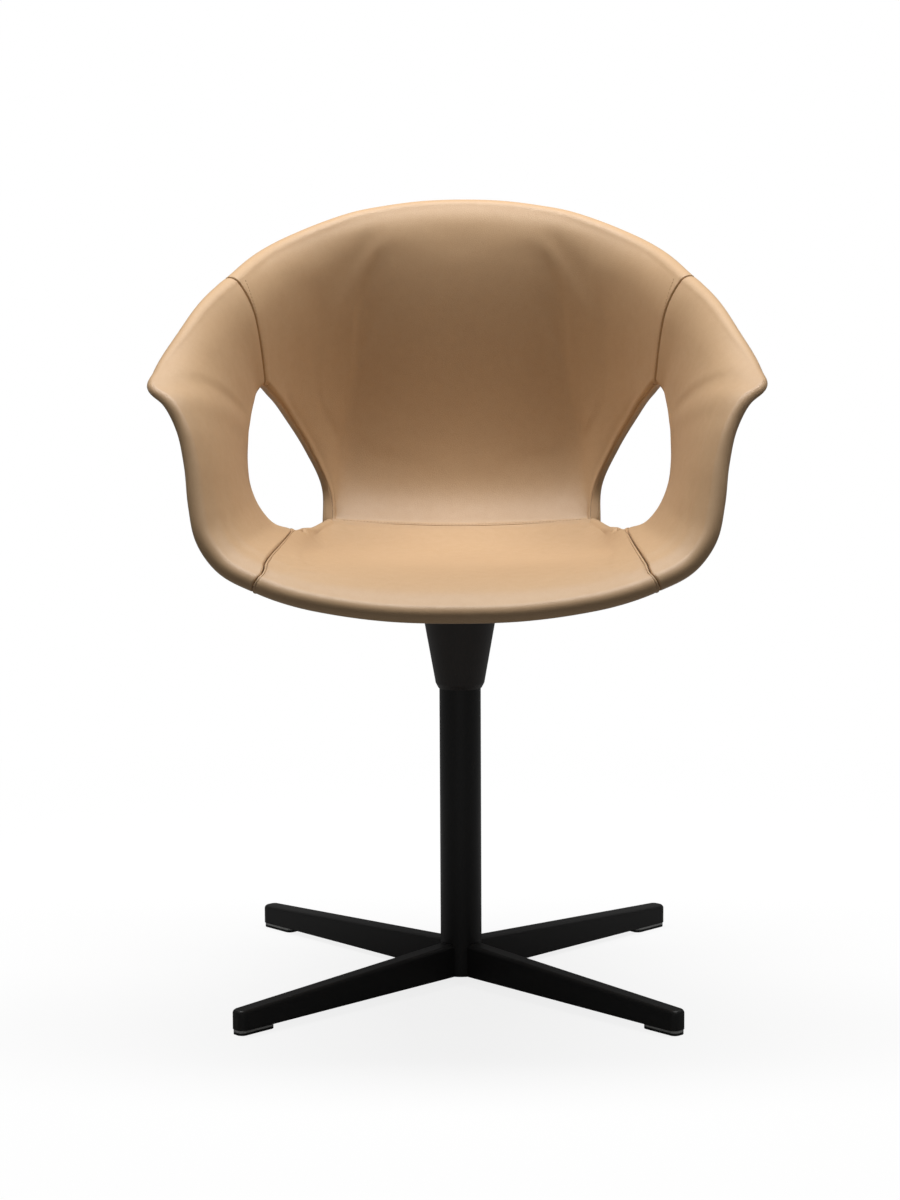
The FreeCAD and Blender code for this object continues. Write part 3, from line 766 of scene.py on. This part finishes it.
# Outer covers
# The outside of the tub is covered in the same hide, thinner over the shell, and butts
# against the lip of the rolled rim in a seam that runs right round. The cover under the
# seat has a round hole for the spacer block.
COVER_STATIONS = 36
COVER_GAP = 0.0004       # between the lip of the rolled rim and the cover
COVER_SHOULDER = 0.008   # from the lip to the last of the even columns
SPACER_CLEARANCE = 0.0745
HOLE_HEIGHT = 0.43
HOLE_DEPTH = 0.12


def cover_section(rib):
    columns = inner_edge(rib, -1)
    stop = rib.from_rim(LIP + COVER_GAP)
    for n in range(1, COVER_STATIONS):
        place = 1 + (rib.from_rim(LIP + COVER_SHOULDER) - 1) * n / COVER_STATIONS
        columns.append(rib.spot(place, -(rib.half(place) - rib.dip)))
    for step, fall in reversed(list(zip(SEAM_STEPS, TURNED_DOWN))):
        place = rib.from_rim(LIP + COVER_GAP + step)
        columns.append(rib.spot(place, -(rib.half(place) - max(fall, rib.dip))))
    columns += shell_side(rib, stop, -1)
    columns.append(inner_return(rib, -1))
    return columns


def cut_round_hole(piece, radius):
    bore = bmesh.new()
    bmesh.ops.create_cone(bore, cap_ends=True, segments=72, radius1=radius, radius2=radius,
                          depth=HOLE_DEPTH, matrix=Matrix.Translation((0.0, 0.0, HOLE_HEIGHT)))
    drill = bpy.data.objects.new("drill", bpy.data.meshes.new("drill"))
    bore.to_mesh(drill.data)
    bore.free()
    bpy.context.collection.objects.link(drill)
    cut = piece.modifiers.new("hole", "BOOLEAN")
    cut.operation = "DIFFERENCE"
    cut.solver = "EXACT"
    cut.object = drill
    holed = bpy.data.meshes.new_from_object(piece.evaluated_get(bpy.context.evaluated_depsgraph_get()))
    piece.modifiers.remove(cut)
    piece.data = holed
    bpy.data.objects.remove(drill)


def outer_cover(name, rows, node):
    piece = sewn_object(name, [cover_section(rib) for rib in rows])
    upholster(piece, node)
    return piece


outer_cover("back_cover_leather", back_rows, "back_outer_cover")
outer_cover("arm_cover_leather_right", arm_right_rows, "arm_outer_cover_right")
outer_cover("arm_cover_leather_left", arm_left_rows, "arm_outer_cover_left")
under_cover = outer_cover("seat_cover_leather", seat_rows, "seat_under_cover")
cut_round_hole(under_cover, SPACER_CLEARANCE)


# Binding of the openings
# A narrow strip of hide is turned over the shell's edge in each side opening, like a piping
# between the padded panels and the outer covers.
PIPING_STANDS = 0.0003
PIPING_LAPS = 4          # degrees that it runs in under the leather on each side
PIPING_SINKS = -0.0006   # where it does so
PIPING_STEPS = 8
PIPING_SEAT = 0.8        # how much of the shell's thickness its flat side covers


def binding_section(rib):
    wedge = edge_wedge(rib) - PIPING_LAPS
    columns = []
    for n in range(PIPING_STEPS + 1):
        around = wedge + (180 - 2 * wedge) * n / PIPING_STEPS
        stands = PIPING_STANDS if 0 < n < PIPING_STEPS else PIPING_SINKS
        columns.append(rib.round_inner(around, rib.half_in + stands))
    columns.append(rib.points[0] - rib.facings[0] * LAYER * PIPING_SEAT)
    columns.append(rib.points[0] + rib.facings[0] * LAYER * PIPING_SEAT)
    return columns


def binding(name, rows, node):
    piece = sewn_object(name, [binding_section(rib) for rib in rows])
    refine(piece)
    upholster(piece, node)


for side, turn in (("right", 1), ("left", -1)):
    edge_rows = [on_ring(ribs, turn * k) for k in range(seat_corner, back_corner + 1)]
    binding("opening_binding_" + side, edge_rows, "opening_welt_" + side)


# Studio
# A plain white floor that runs out of sight, one wide soft light overhead, very little light
# from anywhere else, and the camera where the photograph was taken. The floor and the room
# look white to the camera alone, so that they don't flood the chair with light.
WHITE = (1.0, 1.0, 1.0, 1.0)
FLOOR_SIZE = 14.0
FLOOR_TONE = 0.27
FLOOR_TONE_SEEN = 0.68
ROOM_LIGHT = 0.09
FLOOR_GLOW_NEAR = 0.82
FLOOR_GLOW_REACH = 1.3
CAMERA_PLACE = Vector((0.04816, -3.2218, 0.87826))
CAMERA_DOWN = 0.14887
CAMERA_LEFT = 0.01801
CAMERA_ROLL = -0.00476
CAMERA_LENS = 95.894

ground = bmesh.new()
bmesh.ops.create_grid(ground, x_segments=1, y_segments=1, size=FLOOR_SIZE)
floor = bpy.data.objects.new("floor", bpy.data.meshes.new("floor"))
ground.to_mesh(floor.data)
ground.free()
bpy.context.collection.objects.link(floor)
sheet = Finish("floor_white")
spot = sheet.node("ShaderNodeTexCoord", {}, {}, "Object")
away = sheet.node("ShaderNodeVectorMath", {"operation": "LENGTH"}, {0: spot}, "Value")
seen = sheet.node("ShaderNodeLightPath", {}, {}, "Is Camera Ray")
floor.data.materials.append(sheet.shade({"Base Color": seen * FLOOR_TONE_SEEN + FLOOR_TONE,
                                         "Roughness": 0.9, "Specular IOR Level": 0.0}))
fade = away.worked("MINIMUM", away * (1.0 / FLOOR_GLOW_REACH), 1.0)
glow = sheet.node("ShaderNodeEmission", {}, {"Color": WHITE, "Strength": 1.0})
share = (fade * (1.0 - FLOOR_GLOW_NEAR) + FLOOR_GLOW_NEAR) * seen
surface = sheet.node("ShaderNodeMixShader", {}, {0: share, 2: glow})
sheet.tree.links.new(sheet.surface.outputs[0], surface.socket.node.inputs[1])
sheet.tree.links.new(surface.socket, sheet.tree.nodes["Material Output"].inputs["Surface"])

world = bpy.context.scene.world or bpy.data.worlds.new("studio")
bpy.context.scene.world = world
world.use_nodes = True
nodes, links = world.node_tree.nodes, world.node_tree.links
room = nodes["Background"]
room.inputs["Color"].default_value = WHITE
room.inputs["Strength"].default_value = ROOM_LIGHT
backdrop = nodes.new("ShaderNodeBackground")
backdrop.inputs["Color"].default_value = WHITE
backdrop.inputs["Strength"].default_value = 1.0
rays = nodes.new("ShaderNodeLightPath")
either = nodes.new("ShaderNodeMixShader")
links.new(rays.outputs["Is Camera Ray"], either.inputs[0])
links.new(room.outputs[0], either.inputs[1])
links.new(backdrop.outputs[0], either.inputs[2])
links.new(either.outputs[0], nodes["World Output"].inputs["Surface"])


def soft_box(name, place, aim, width, height, power):
    lamp = bpy.data.lights.new(name, "AREA")
    lamp.shape = "RECTANGLE"
    lamp.size = width
    lamp.size_y = height
    lamp.energy = power
    light = bpy.data.objects.new(name, lamp)
    light.location = place
    light.rotation_euler = (Vector(aim) - Vector(place)).to_track_quat("-Z", "Y").to_euler()
    bpy.context.collection.objects.link(light)


soft_box("overhead", (0.0, 0.28, 2.5), (0.0, 0.28, 0.4), 2.6, 0.8, 80.0)
soft_box("front", (0.0, -3.6, 0.5), (0.0, 0.0, 0.5), 2.4, 0.8, 3.0)

ahead = Vector((-math.sin(CAMERA_LEFT) * math.cos(CAMERA_DOWN),
                math.cos(CAMERA_LEFT) * math.cos(CAMERA_DOWN), -math.sin(CAMERA_DOWN)))
level = Vector((math.cos(CAMERA_LEFT), math.sin(CAMERA_LEFT), 0.0))
upright = level.cross(ahead)
right = level * math.cos(CAMERA_ROLL) + upright * math.sin(CAMERA_ROLL)
up = upright * math.cos(CAMERA_ROLL) - level * math.sin(CAMERA_ROLL)
lens = bpy.data.cameras.new("camera")
lens.sensor_fit = "VERTICAL"
lens.sensor_height = 36.0
lens.lens = CAMERA_LENS
camera = bpy.data.objects.new("camera", lens)
camera.matrix_world = Matrix((
    (right.x, up.x, -ahead.x, CAMERA_PLACE.x),
    (right.y, up.y, -ahead.y, CAMERA_PLACE.y),
    (right.z, up.z, -ahead.z, CAMERA_PLACE.z),
    (0.0, 0.0, 0.0, 1.0)))
bpy.context.collection.objects.link(camera)
bpy.context.scene.camera = camera
bpy.context.scene.view_settings.view_transform = "Standard"
bpy.context.scene.view_settings.look = "None"
